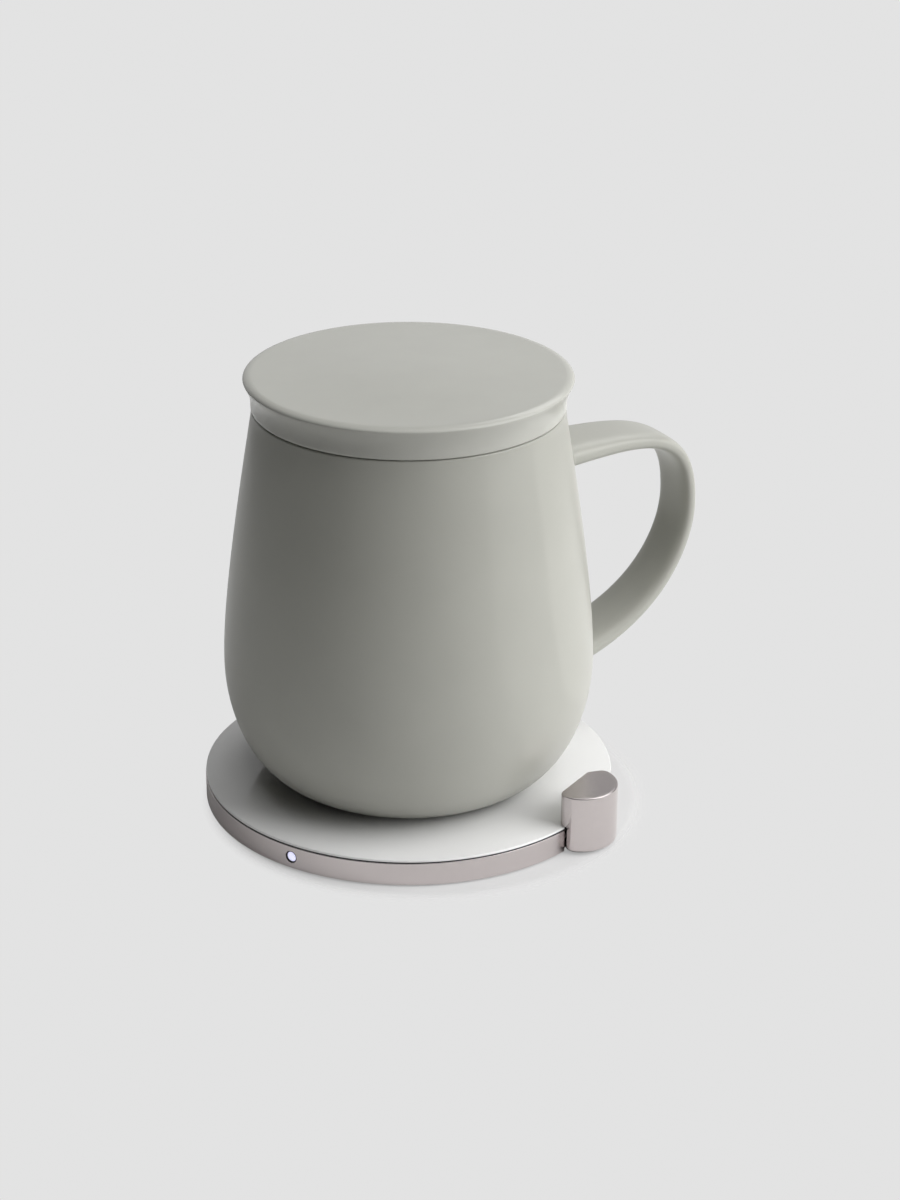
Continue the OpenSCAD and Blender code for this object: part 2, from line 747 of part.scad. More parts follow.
module usb_tongue() {
  back = socket_mouth - socket_l + socket_wall;
  h = socket_w * 0.75;
  color([0.06, 0.06, 0.07])
    at_nub() translate([socket_x - tongue_t / 2, back, socket_z - h / 2])
      cube([tongue_t, socket_l * 0.75, h]);
}

module inlet_gasket() {
  low = cover_top + fit;
  w = 2 * nub_r - 3 * nub_corner;
  color([0.05, 0.05, 0.06])
    difference() {
      at_nub() translate([-nub_gap, -w / 2, low]) cube([nub_gap, w, ring_top - low]);
      at_nub_screws() translate([0, 0, -2]) cylinder(r = nub_screw_r + 3 * fit, h = 4);
      wire_window();
    }
}

module inlet_screws() {
  color([0.6, 0.6, 0.62])
    at_nub_screws() {
      translate([0, 0, nub_seat - nub_head_h]) cylinder(r = nub_head_r, h = nub_head_h);
      translate([0, 0, nub_seat - nub_head_h]) cylinder(r = nub_screw_r, h = nub_head_h + nub_screw_l);
    }
}

module inlet_wires() {
  color([0.6, 0.1, 0.1])
    at_nub() for (s = [-1, 1])
      translate([-wire_l, s * 2 * wire_r, wire_z])
        rotate([0, 90, 0]) cylinder(r = wire_r, h = wire_l + inlet_board_x);
}

mug_body();
mug_handle();
heating_film();
film_cover();
lid();
lid_seal();
top_plate();
rim_gasket();
rim_ring();
bottom_cover();
foot_pad();
induction_coil();
coil_leads();
coil_carrier();
ferrite_disc();
insulation_sheet();
circuit_board();
driver_chips();
capacitors();
thermistor();
status_led();
light_pipe();
led_bezel();
cover_screws();
inlet_shell();
inlet_base();
inlet_board();
usb_socket();
usb_tongue();
inlet_gasket();
inlet_screws();
inlet_wires();
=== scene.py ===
# %% [markdown]
# # A self-heating mug on its warming pad
# The solids of the mug, the lid and the pad come in as a fixed frame. Everything that shows is then
# dressed: smooth surfaces worked out as grids of points stand in for the plain solids, and every finish
# is built from shader nodes. Lengths below are written in millimetres and turned to metres when they are
# handed to Blender, because a maker thinks of a mug in millimetres.

# %% Load the frame
import json

import bpy
import bmesh
import numpy as np
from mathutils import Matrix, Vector


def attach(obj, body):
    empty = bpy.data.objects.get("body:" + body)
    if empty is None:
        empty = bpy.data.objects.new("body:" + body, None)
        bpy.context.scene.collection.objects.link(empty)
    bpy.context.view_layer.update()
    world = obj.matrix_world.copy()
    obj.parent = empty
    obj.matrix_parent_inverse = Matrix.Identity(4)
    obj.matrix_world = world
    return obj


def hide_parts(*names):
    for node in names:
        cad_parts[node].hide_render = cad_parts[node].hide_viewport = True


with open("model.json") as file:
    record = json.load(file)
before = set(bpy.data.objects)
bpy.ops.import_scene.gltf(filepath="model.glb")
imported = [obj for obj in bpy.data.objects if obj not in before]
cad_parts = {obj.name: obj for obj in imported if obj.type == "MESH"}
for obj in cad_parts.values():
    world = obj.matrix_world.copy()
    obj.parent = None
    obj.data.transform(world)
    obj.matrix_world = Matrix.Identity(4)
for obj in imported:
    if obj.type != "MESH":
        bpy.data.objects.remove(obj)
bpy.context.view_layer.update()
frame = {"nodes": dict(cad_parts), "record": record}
MM = 0.001

# %% [markdown]
# ## Camera
# The picture was taken from a little above with a long lens, and the pad stands left of the middle. The
# camera could be turned until the pad is in its place, but a lens shift frames it that way with the axis
# of the mug still upright in the picture. The handle points along +X here, which is 28 degrees off the
# view, so places that were worked out in the view's own directions are turned by that angle.

# %% Camera
VIEW_TURN = np.radians(-28.0)
CAMERA_BACK, CAMERA_UP = 619.0, 324.8  # from the axis of the pad, and from the desk
CAMERA_PITCH = 23.89  # degrees below level
FOCAL_PX, AXIS_PX = 2810.0, 408.6  # focal length, and where the axis stands, in pixels of the picture
FRAME_W, FRAME_H = 900.0, 1200.0
SENSOR = 36.0


def from_view(right, away, up):
    """A place right of, away from and above the pad, in metres: its level part turns by the view's angle."""
    c, s = np.cos(VIEW_TURN), np.sin(VIEW_TURN)
    return Vector(((right * c - away * s) * MM, (right * s + away * c) * MM, up * MM))


camera = bpy.data.cameras.new("camera")
camera.sensor_width = SENSOR
camera.lens = FOCAL_PX / FRAME_H * camera.sensor_width
camera.shift_x = (FRAME_W / 2 - AXIS_PX) / FRAME_H
camera.clip_start, camera.clip_end = 0.01, 50.0
camera_object = bpy.data.objects.new("camera", camera)
camera_object.location = from_view(0, -CAMERA_BACK, CAMERA_UP)
camera_object.rotation_euler = (np.radians(90 - CAMERA_PITCH), 0, VIEW_TURN)
bpy.context.collection.objects.link(camera_object)
bpy.context.scene.camera = camera_object
print("lens", round(camera.lens, 2), "mm, shift", round(camera.shift_x, 4))

# %% [markdown]
# ## From points to pieces
# Each new piece is a grid of points: rows follow a profile, columns go round. One helper joins a grid
# with quads, another welds the shared points, so that seams and poles close, and hands the mesh to the
# frame. Shading is smooth, apart from edges sharper than one angle, so no piece needs a bevel.

# %% Mesh helpers
SHARP = 40.0  # degrees; a sharper edge is shaded as an edge
WELD = 1e-6  # metres; points closer than this become one
slot_of_piece = {}


def grid_quads(grid, first=0):
    """Corner numbers of the quads between neighbouring rows and columns; the last column joins the first."""
    rows, cols = grid.shape[:2]
    i = np.arange(rows - 1)[:, None]
    j = np.arange(cols)[None, :]
    k = (j + 1) % cols
    quads = np.stack([i * cols + j, i * cols + k, (i + 1) * cols + k, (i + 1) * cols + j], axis=-1)
    return quads.reshape(-1, 4) + first


def add_piece(name, points, quads, body, slot, replaces):
    """A mesh piece from points in millimetres and quads, welded, riding on a body."""
    mesh = bpy.data.meshes.new(name)
    mesh.from_pydata((np.asarray(points).reshape(-1, 3) * MM).tolist(), [], np.asarray(quads).tolist())
    weld = bmesh.new()
    weld.from_mesh(mesh)
    bmesh.ops.remove_doubles(weld, verts=weld.verts, dist=WELD)
    bmesh.ops.recalc_face_normals(weld, faces=weld.faces)
    weld.to_mesh(mesh)
    weld.free()
    mesh.validate()
    mesh.shade_smooth()
    mesh.set_sharp_from_angle(angle=np.radians(SHARP))
    piece = bpy.data.objects.new(name, mesh)
    bpy.context.collection.objects.link(piece)
    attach(piece, body)
    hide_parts(*replaces)
    slot_of_piece[piece] = slot
    print(name, len(mesh.vertices), "points", len(mesh.polygons), "faces")


def add_round(name, grid, body, slot, replaces):
    """A mesh piece from one grid of points."""
    add_piece(name, grid, grid_quads(grid), body, slot, replaces)


# %% [markdown]
# Three curves are enough for every profile here: a cubic for what bends freely, an arc for what is
# rounded, and a turn about the upright axis that makes a surface of a profile. Blender's Screw modifier
# could make the turn too, but a grid of points can still be cut or patched afterwards.

# %% Curve helpers


def cubic(p, n):
    """n points of a cubic curve: four control points weighed by the powers of t and 1 - t."""
    t = np.linspace(0, 1, n)[:, None]
    p = np.asarray(p, float)
    return (1 - t) ** 3 * p[0] + 3 * (1 - t) ** 2 * t * p[1] + 3 * (1 - t) * t**2 * p[2] + t**3 * p[3]


def arc(x, y, r, a0, a1, n):
    """n points of a circle of radius r about (x, y), from angle a0 to a1 in degrees."""
    a = np.radians(np.linspace(a0, a1, n))
    return np.stack([x + r * np.cos(a), y + r * np.sin(a)], axis=1)


def revolved(profile, turns, limit=np.inf):
    """Profile points (radius, height) carried round the axis to each angle, no further out than a limit."""
    r, z = np.asarray(profile, float).T[:, :, None]
    r = np.minimum(r, limit)
    return np.stack([r * np.cos(turns), r * np.sin(turns), z + 0 * turns], -1)


FULL_TURN = np.linspace(0, 2 * np.pi, 256, endpoint=False)
print("columns in a full turn:", len(FULL_TURN))

# %% [markdown]
# ## Mug body
# The mug is thrown or cast in one piece: a low bowl that is a stretch of an ellipse, then a wall that
# leans in towards the rim. It could be sculpted from a cylinder, but a mug is a turned shape, so one
# profile says it all. It runs from the recess under the base, round the foot ring, up the outside, over
# the rounded rim and down the inside, and one turn about the axis makes the body.

# %% Mug body
PAD_H = 6.9  # top face of the pad, on which the mug stands
MUG_H, RIM_R, WALL_T, BASE_T = 93.6, 36.75, 3.8, 5.4
BELLY_R, BELLY_Z, BELLY_PULL = 44.7, 30.0, 14.0  # widest place, its height, how long the wall stays upright
BOWL_R = 26.45  # radius at which the ellipse of the bowl has its middle
RIM_LEAN, RIM_PULL = 0.168, 24.0  # lean of the wall at the rim, and how far down it is felt
RIM_ROUND, RIM_ARC = 0.5, 12.0  # edge of the rim, and the degrees that the wall's lean takes off it
RIM_PROUD, PROUD_RUN = 0.1, 2.0  # the rim stands out by a hair over its last millimetres
FOOT_R, FOOT_W, FOOT_H, FOOT_ROUND = 28.0, 2.5, 0.8, 0.3
RECESS_H = 1.6  # room for the heating film under the base


def mug_wall(belly, rim):
    """Wall from belly to rim: a cubic that starts upright and ends with the lean of the rim."""
    top = MUG_H - RIM_ROUND
    leaning = (rim + RIM_LEAN * RIM_PULL, top - RIM_PULL)
    return cubic([(belly, BELLY_Z), (belly, BELLY_Z + BELLY_PULL), leaning, (rim, top)], 96)


def mug_bowl(belly, low, end):
    """Bowl from its lowest point to the belly: a stretch of an ellipse that ends upright."""
    a = np.radians(np.linspace(end, 0, 40))
    return np.stack([BOWL_R + (belly - BOWL_R) * np.cos(a), BELLY_Z - (BELLY_Z - low) * np.sin(a)], axis=1)


bowl_end = np.degrees(np.arcsin((BELLY_Z - FOOT_H) / BELLY_Z))
mug_outside = np.vstack([mug_bowl(BELLY_R, 0, bowl_end), mug_wall(BELLY_R, RIM_R)[1:]])
below_rim = MUG_H - RIM_ROUND - mug_outside[:, 1]
mug_outside[:, 0] += RIM_PROUD * np.clip(1 - below_rim / PROUD_RUN, 0, 1) ** 2
inner_belly, inner_rim = BELLY_R - WALL_T, RIM_R - WALL_T
mug_inside = np.vstack([mug_bowl(inner_belly, BASE_T, 90), mug_wall(inner_belly, inner_rim)[1:]])
mug_profile = np.vstack([
    [(0, RECESS_H), (FOOT_R - FOOT_W, RECESS_H)],
    arc(FOOT_R - FOOT_W + FOOT_ROUND, FOOT_ROUND, FOOT_ROUND, 180, 270, 5),
    arc(FOOT_R - FOOT_ROUND, FOOT_ROUND, FOOT_ROUND, 270, 360, 5),
    [(FOOT_R, FOOT_H)],
    mug_outside,
    arc(RIM_R + RIM_PROUD - RIM_ROUND, MUG_H - RIM_ROUND, RIM_ROUND, RIM_ARC, 90, 9),
    arc(inner_rim + RIM_ROUND, MUG_H - RIM_ROUND, RIM_ROUND, 90, 180 - RIM_ARC, 9),
    mug_inside[::-1],
    [(0, BASE_T)],
]) + (0, PAD_H)
add_round("mug_body_glazed", revolved(mug_profile, FULL_TURN), "mug", "mug_glaze", ["mug_body"])

# %% [markdown]
# ## Handle
# The handle is a flat strap, pulled out of the wall near the top and brought back low on the bowl. A curve
# with a bevel could give a strap of even section; this one spreads towards both ends, so its section is
# carried along the path as a grid. The path is two cubic curves, cut off where they enter the wall.

# %% Path of the handle
HANDLE_REACH, HANDLE_MID = 76.4, 56.5  # furthest place, and its height above the foot of the mug
HANDLE_TOP, HANDLE_LOW = 75.4, 21.0  # heights of the two ends
TOP_START, TOP_PULL, TOP_RISE = 37.0, 61.4, 1.0
LOW_END, LOW_PULL, LOW_RISE = 40.0, 69.4, 6.4
MID_PULL_UP, MID_PULL_DOWN = 21.8, 9.7
PATH_IN = 0.4  # how far inside the wall the path starts and ends


def wall_radius(z):
    """Outer radius of the mug at a height above its foot, read off the profile."""
    return np.interp(z, mug_outside[:, 1], mug_outside[:, 0])


upper = cubic([
    (TOP_START, HANDLE_TOP), (TOP_PULL, HANDLE_TOP + TOP_RISE),
    (HANDLE_REACH, HANDLE_MID + MID_PULL_UP), (HANDLE_REACH, HANDLE_MID),
], 160)
lower = cubic([
    (HANDLE_REACH, HANDLE_MID), (HANDLE_REACH, HANDLE_MID - MID_PULL_DOWN),
    (LOW_PULL, HANDLE_LOW + LOW_RISE), (LOW_END, HANDLE_LOW),
], 160)
handle_line = np.vstack([upper, lower[1:]])
run = np.linspace(0, 1, len(handle_line))
outside = handle_line[:, 0] > wall_radius(handle_line[:, 1]) - PATH_IN
handle_line, run = handle_line[outside], run[outside]
way = np.concatenate([[0], np.cumsum(np.linalg.norm(np.diff(handle_line, axis=0), axis=1))])
print("length of the handle:", round(way[-1], 1), "mm")

# %% [markdown]
# The section is a flat oval with full corners. It grows wider and thicker towards both ends, and in the
# last millimetre it spreads in a small fillet, as clay does where it is pressed on. The last ring is
# pushed into the wall and closed to its middle, so nothing shows inside the mug.

# %% Strap of the handle
HANDLE_W, HANDLE_T = 13.7, 3.7
TOP_FLARE, LOW_FLARE, FLARE_T = 5.8, 3.6, 1.8  # growth of the width at either end, and of the thickness
FLARE_RUN = 0.42  # share of the path over which they grow
HANDLE_FILLET, ROOT_DEPTH = 1.2, 1.8
FULL_SIDE, FULL_FACE = 0.5, 0.8  # powers of cosine and sine; below one, the oval has fuller corners

along = np.gradient(handle_line, axis=0)
along /= np.linalg.norm(along, axis=1, keepdims=True)
near = np.clip(1 - np.minimum(way, way[-1] - way) / HANDLE_FILLET, 0, 1)
fillet = HANDLE_FILLET * (1 - np.sqrt(1 - near**2))
top_spread = np.clip(1 - run / FLARE_RUN, 0, 1) ** 2
low_spread = np.clip(1 - (1 - run) / FLARE_RUN, 0, 1) ** 2
half_w = (HANDLE_W + TOP_FLARE * top_spread + LOW_FLARE * low_spread) / 2 + fillet
half_t = (HANDLE_T + FLARE_T * (top_spread + low_spread)) / 2 + fillet
round_a = np.linspace(0, 2 * np.pi, 64, endpoint=False)
strap_y = np.sign(np.cos(round_a)) * np.abs(np.cos(round_a)) ** FULL_SIDE
strap_h = np.sign(np.sin(round_a)) * np.abs(np.sin(round_a)) ** FULL_FACE
lift = half_t[:, None] * strap_h
handle_grid = np.stack([
    handle_line[:, :1] + lift * along[:, 1:],
    half_w[:, None] * strap_y,
    handle_line[:, 1:] - lift * along[:, :1] + PAD_H,
], -1)
root = handle_grid[[0, -1]].copy()
inwards = (wall_radius(root[..., 2] - PAD_H) - ROOT_DEPTH) / np.hypot(root[..., 0], root[..., 1])
root[..., :2] *= inwards[..., None]
middle = root.mean(1, keepdims=True) + np.zeros((2, len(round_a), 1))
handle_grid = np.concatenate([middle[:1], root[:1], handle_grid, root[1:], middle[1:]])
add_round("mug_handle_strap", handle_grid, "mug", "mug_glaze", ["mug_handle"])

# %% [markdown]
# ## Lid
# The lid is a second ceramic piece. A band stands on the rim of the mug and flares into a thin lip, which
# is rolled over in a quarter of an ellipse; the top is a low crown. Below, a spigot with a groove for the
# seal centres it in the mug. It is a turned shape like the mug. The band is kept off the rim by a thin gap
# outside its seat, and that gap is the fine dark line between the two; a painted line would still be there
# when the lid is lifted.

# %% Lid
LID_R, LIP_Z = 38.65, 7.2  # widest place of the lip, and its height above the rim
LIP_ROLL, LIP_H, CROWN_H = 2.2, 0.9, 0.55
BAND_R, BAND_ROUND = 36.95, 0.4
FLARE_Z, FLARE_PULL, LIP_IN, LIP_PULL = 1.4, 3.2, 0.4, 1.1  # where the flare starts, and its two pulls
SEAT_R, SEAM, SEAM_RUN = 34.6, 0.2, 0.3
LID_ROOF, ROOF_ROUND = 4.5, 0.6
SPIGOT_H, SPIGOT_R, SPIGOT_T, SPIGOT_ROUND = 5.0, 31.95, 3.0, 0.5
SEAL_TOP, SEAL_H, SEAL_BITE, SEAL_GAP = -1.8, 1.4, 1.0, 0.05

roll_a = np.radians(np.linspace(0, 90, 28))[1:]
lip = np.stack([LID_R - LIP_ROLL * (1 - np.cos(roll_a)), LIP_Z + LIP_H * np.sin(roll_a)], axis=1)
top_at = np.linspace(LID_R - LIP_ROLL, 0, 80)[1:]
crown = CROWN_H * (0.5 + 0.5 * np.cos(np.pi * top_at / (LID_R - LIP_ROLL)))
spigot_in, groove_r = SPIGOT_R - SPIGOT_T, SPIGOT_R - SEAL_BITE
groove_low, groove_top = SEAL_TOP - SEAL_H - SEAL_GAP, SEAL_TOP + SEAL_GAP
flare_low, flare_high = (BAND_R, FLARE_Z + FLARE_PULL), (LID_R - LIP_IN, LIP_Z - LIP_PULL)
lid_profile = np.vstack([
    [(0, LID_ROOF), (spigot_in - ROOF_ROUND, LID_ROOF)],
    arc(spigot_in - ROOF_ROUND, LID_ROOF - ROOF_ROUND, ROOF_ROUND, 90, 0, 6),
    arc(spigot_in + SPIGOT_ROUND, SPIGOT_ROUND - SPIGOT_H, SPIGOT_ROUND, 180, 270, 6),
    arc(SPIGOT_R - SPIGOT_ROUND, SPIGOT_ROUND - SPIGOT_H, SPIGOT_ROUND, 270, 360, 6),
    [(SPIGOT_R, groove_low), (groove_r, groove_low), (groove_r, groove_top), (SPIGOT_R, groove_top)],
    [(SPIGOT_R, 0), (SEAT_R, 0), (SEAT_R + SEAM_RUN, SEAM)],
    arc(BAND_R - BAND_ROUND, SEAM + BAND_ROUND, BAND_ROUND, -90, 0, 8),
    cubic([(BAND_R, FLARE_Z), flare_low, flare_high, (LID_R, LIP_Z)], 36),
    lip,
    np.stack([top_at, LIP_Z + LIP_H + crown], axis=1),
]) + (0, PAD_H + MUG_H)
add_round("lid_glazed", revolved(lid_profile, FULL_TURN), "lid", "lid_glaze", ["lid"])

# %% [markdown]
# ## Pad: plate, seam and ring
# The pad is a sandwich: a polished white plate on top, a thin dark gasket that shows as the seam, and a
# metal ring. All three stop short of the inlet housing at the edge. A Boolean cut would leave ragged
# shading along such a long edge, so plate and ring are turned shapes whose radius is cut down to the room
# of the housing wherever it would reach further out.

# %% Edge of the pad at the inlet housing
PAD_R, RING_TOP, RING_IN, PAD_STAND, COVER_TOP = 50.0, 6.0, 47.8, 0.4, 1.5
INLET_ANGLE = np.radians(-61.0)
INLET_R, INLET_CORNER = 8.8, 2.2  # half-round, and its corners
INLET_FLAT = 48.8  # distance of its flat side from the axis of the pad
INLET_GAP = 0.3
WIDEST_OFF, NO_LIMIT = 1.2, 1e3  # angle past which the housing plays no part, and the radius given there


def edge_limit(turns):
    """Greatest radius that leaves room for the housing: its flat side with round ends, seen from the axis."""
    off = (turns - INLET_ANGLE + np.pi) % (2 * np.pi) - np.pi
    off = np.clip(off, -WIDEST_OFF, WIDEST_OFF)
    side = np.abs(INLET_FLAT * np.tan(off))
    corner = INLET_CORNER + INLET_GAP
    straight = np.sqrt((INLET_R + INLET_GAP - corner) ** 2 - INLET_CORNER**2)
    past = np.clip((side - straight) / corner, 0, 1)
    flat = INLET_FLAT + INLET_CORNER - corner * np.sqrt(1 - past**2)
    return np.where(side < straight + corner, flat / np.cos(off), NO_LIMIT)


PAD_TURNS = np.linspace(0, 2 * np.pi, 900, endpoint=False)
print("radius left at the housing:", round(edge_limit(PAD_TURNS).min(), 2), "mm")

# %% [markdown]
# ### White plate
# The plate lies in the ring with a step, so that only its rim covers the gasket. Its upper edge is barely
# rounded, which gives the thin bright line round the top.

# %% White plate
PLATE_R, PLATE_Z, PLATE_ROUND, PLATE_BREAK = 49.9, 6.3, 0.2, 0.1
STEP_R, STEP_Z = 47.6, 5.3  # the part of the plate that sits inside the ring
TOP_RING_R = 30.0  # a ring of points on the flat top, so that its faces aren't long slivers

plate_profile = np.vstack([
    [(0, STEP_Z), (STEP_R, STEP_Z), (STEP_R, PLATE_Z)],
    [(PLATE_R - PLATE_BREAK, PLATE_Z), (PLATE_R, PLATE_Z + PLATE_BREAK)],
    arc(PLATE_R - PLATE_ROUND, PAD_H - PLATE_ROUND, PLATE_ROUND, 0, 90, 8),
    [(TOP_RING_R, PAD_H), (0, PAD_H)],
])
plate_grid = revolved(plate_profile, PAD_TURNS, edge_limit(PAD_TURNS))
add_round("top_plate_white", plate_grid, "pad", "white_plate", ["top_plate"])

# %% [markdown]
# ### Metal ring
# The ring is turned from metal, with crisp edges and a small round hole for the status light. A hole in a
# grid needs a clean square to start from, so the columns near the light are set close together and the
# cells between them are left out.

# %% Metal ring with the place for the hole
LED_ANGLE, LED_Z = np.radians(-151.4), 3.3
LED_PATCH, PATCH_CELLS = 2.2, 8  # half the side of the square, and its cells along a side
RING_ROUND, RING_STEP_R = 0.14, 48.9
RING_COLS = 860  # columns of the ring away from the square


def without_cells(quads, cols, first_row, rows, patch_cols):
    """The quads of a grid less a block of cells: some rows from a first one on, and the first columns."""
    row, col = np.divmod(np.arange(len(quads)), cols)
    inside = (row >= first_row) & (row < first_row + rows) & (col < patch_cols)
    return quads[~inside]


patch_side = np.linspace(-LED_PATCH, LED_PATCH, PATCH_CELLS + 1)
led_turns = LED_ANGLE + patch_side / PAD_R
other_turns = np.linspace(led_turns[-1], led_turns[0] + 2 * np.pi, RING_COLS)[1:-1]
ring_turns = np.concatenate([led_turns, other_turns])
ring_foot = np.vstack([
    [(RING_IN, RING_TOP), (RING_IN, COVER_TOP), (RING_STEP_R, COVER_TOP), (RING_STEP_R, PAD_STAND)],
    arc(PAD_R - RING_ROUND, PAD_STAND + RING_ROUND, RING_ROUND, -90, 0, 6),
])
ring_profile = np.vstack([
    ring_foot,
    np.stack([np.full(PATCH_CELLS + 1, PAD_R), LED_Z + patch_side], axis=1),
    arc(PAD_R - RING_ROUND, RING_TOP - RING_ROUND, RING_ROUND, 0, 90, 6),
    [(RING_IN, RING_TOP)],
])
ring_grid = revolved(ring_profile, ring_turns, edge_limit(ring_turns))
ring_quads = without_cells(grid_quads(ring_grid), len(ring_turns), len(ring_foot), PATCH_CELLS, PATCH_CELLS)
print("ring:", len(ring_quads), "quads around the square")

# %% [markdown]
# The square is filled by rings of points that change step by step from the square to the circle. The last
# rings run inwards and make the wall of the hole. That keeps the quads even, where a Boolean cut would
# leave long thin faces that catch the light.

# %% Hole for the light
LED_HOLE, PATCH_STEPS = 1.55, 6
HOLE_DEPTHS = [0.06, 1.2, PAD_R - RING_IN]  # an edge, a neck and the back of the ring

lower_edge = np.stack([patch_side[:-1], np.full(PATCH_CELLS, -LED_PATCH)], axis=1)
left_edge = lower_edge[:, ::-1]
square = np.vstack([lower_edge, left_edge * (-1, 1), -lower_edge, left_edge * (1, -1)])
circle = LED_HOLE * square / np.linalg.norm(square, axis=1, keepdims=True)
blend = np.linspace(0, 1, PATCH_STEPS)[:, None, None]
patch = square * (1 - blend) + circle * blend
patch = np.concatenate([patch, np.repeat(circle[None], len(HOLE_DEPTHS), 0)])
patch_r = PAD_R - np.concatenate([np.zeros(PATCH_STEPS), HOLE_DEPTHS])[:, None]
patch_turn = LED_ANGLE + patch[..., 0] / PAD_R
patch_grid = np.stack([patch_r * np.cos(patch_turn), patch_r * np.sin(patch_turn), LED_Z + patch[..., 1]], -1)
ring_points = np.vstack([ring_grid.reshape(-1, 3), patch_grid.reshape(-1, 3)])
patch_quads = grid_quads(patch_grid, first=ring_grid.shape[0] * ring_grid.shape[1])
all_quads = np.vstack([ring_quads, patch_quads])
add_piece("rim_ring_metal", ring_points, all_quads, "pad", "anodised", ["rim_ring"])

# %% [markdown]
# ## Status light
# The status light is the end of a milky light pipe in a thin black sleeve, set a hair behind the face of
# the ring. Cylinders would do from afar, but a rounded lip on the sleeve and a slight dome on the pipe
# catch the light as the real ones do. Both are turned shapes about the axis of the hole.

# %% Status light
LED_R, LENS_BACK, LENS_EDGE, LENS_DOME = 1.2, 45.5, 49.66, 0.2  # places along the axis of the hole
BEZEL_R, BEZEL_IN, BEZEL_ROUND = 1.5, 1.24, 0.12
BEZEL_BACK, BEZEL_FRONT, BEZEL_EDGE = 47.2, 49.8, 49.7
LIGHT_COLS = 48


def turned_about_light(profile):
    """Profile (distance from the hole's axis, distance from the pad's axis) carried round the hole's axis."""
    a = np.linspace(0, 2 * np.pi, LIGHT_COLS, endpoint=False)
    off, out = np.asarray(profile, float).T
    radial = np.array([np.cos(LED_ANGLE), np.sin(LED_ANGLE), 0])
    sideways = np.array([-np.sin(LED_ANGLE), np.cos(LED_ANGLE), 0])
    round_it = np.cos(a)[:, None] * sideways + np.sin(a)[:, None] * np.array([0, 0, 1.0])
    return out[:, None, None] * radial + off[:, None, None] * round_it + np.array([0, 0, LED_Z])


bezel_profile = np.vstack([
    [(BEZEL_IN, BEZEL_BACK), (BEZEL_IN, BEZEL_FRONT)],
    arc(BEZEL_IN + BEZEL_ROUND, BEZEL_FRONT, BEZEL_ROUND, 180, 0, 8),
    [(BEZEL_R, BEZEL_EDGE), (BEZEL_R, BEZEL_BACK), (BEZEL_IN, BEZEL_BACK)],
])
add_round("light_bezel", turned_about_light(bezel_profile), "pad", "dark_plastic", ["led_bezel"])
dome = np.linspace(0, 1, 8)
lens_profile = np.vstack([
    [(0, LENS_BACK), (LED_R, LENS_BACK)],
    np.stack([LED_R * (1 - dome), LENS_EDGE + LENS_DOME * (1 - (1 - dome) ** 2)], axis=1),
])
add_round("light_lens", turned_about_light(lens_profile), "pad", "led_lens", ["light_pipe"])

# %% [markdown]
# ## Inlet housing
# The housing at the edge of the pad is a half-round block of the same metal. Low down its flat side stands
# against the ring; higher up it reaches in over the plate. So there are two outlines, both a half circle
# with a flat side and rounded corners, with the same number of points, so that rows of either can follow
# each other. The points on the end that faces away are spaced for the slot of the power plug.

# %% Outlines of the housing
INLET_HOOK = 1.4  # how far the upper part reaches in over the plate
HOOK_CUT, HOOK_PULL = 1.6, 1.3  # its far corner, a free curve
SLOT_X, PATCH_X, CELLS_X = 2.75, 2.3, 8  # the slot's middle, half its patch, and the cells across that

corner_y = np.sqrt((INLET_R - INLET_CORNER) ** 2 - INLET_CORNER**2)
corner_end = np.degrees(np.arctan2(corner_y, INLET_CORNER))


def far_end_y(x):
    """Where the far end of the outline lies along the flat side, at a distance x out from that side."""
    from_middle = INLET_CORNER - np.minimum(x, INLET_CORNER * 2)
    on_corner = corner_y + np.sqrt(np.clip(INLET_CORNER**2 - from_middle**2, 0, None))
    on_round = np.sqrt(np.clip(INLET_R**2 - x**2, 0, None))
    return np.where(x < INLET_R * np.cos(np.radians(corner_end)), on_corner, on_round)


slot_x = np.linspace(SLOT_X + PATCH_X, SLOT_X - PATCH_X, CELLS_X + 1)
slot_cols = np.stack([slot_x, far_end_y(slot_x)], axis=1)
last_a = 180 - np.degrees(np.arccos(np.clip((slot_x[-1] - INLET_CORNER) / -INLET_CORNER, -1, 1)))
first_round = np.degrees(np.arccos(slot_x[0] / INLET_R))
half_round = arc(0, 0, INLET_R, -corner_end, first_round, 90)[1:-1]
low_outline = np.vstack([
    slot_cols,
    arc(INLET_CORNER, corner_y, INLET_CORNER, last_a, 180, 6)[1:],
    np.stack([np.zeros(25), np.linspace(corner_y, -corner_y, 25)], axis=1)[1:],
    arc(INLET_CORNER, -corner_y, INLET_CORNER, 180, 360 - corner_end, 14)[1:],
    half_round,
])
far_start, far_end = slot_cols[-1], np.array([-INLET_HOOK, corner_y - HOOK_CUT])
far_aim = np.array([-np.sin(np.radians(last_a)), np.cos(np.radians(last_a))])
hood_outline = np.vstack([
    slot_cols,
    cubic([far_start, far_start + HOOK_PULL * far_aim, far_end + (0, HOOK_PULL), far_end], 16)[1:],
    np.stack([np.full(15, -INLET_HOOK), np.linspace(far_end[1], -corner_y, 15)], axis=1)[1:],
    arc(INLET_CORNER - INLET_HOOK, -corner_y, INLET_CORNER, 180, 270, 9)[1:],
    arc(INLET_CORNER, -corner_y, INLET_CORNER, 270, 360 - corner_end, 5),
    half_round,
])
print("outline points:", len(low_outline), "below,", len(hood_outline), "above")

# %% [markdown]
# The wall is those outlines stacked row by row. At the foot and at the top the rows move inwards along a
# quarter circle, which rounds the edge, and the last rows shrink to one point and close the block. An
# extruded face with a bevel could look the same, but then the slot could not be patched in cleanly.

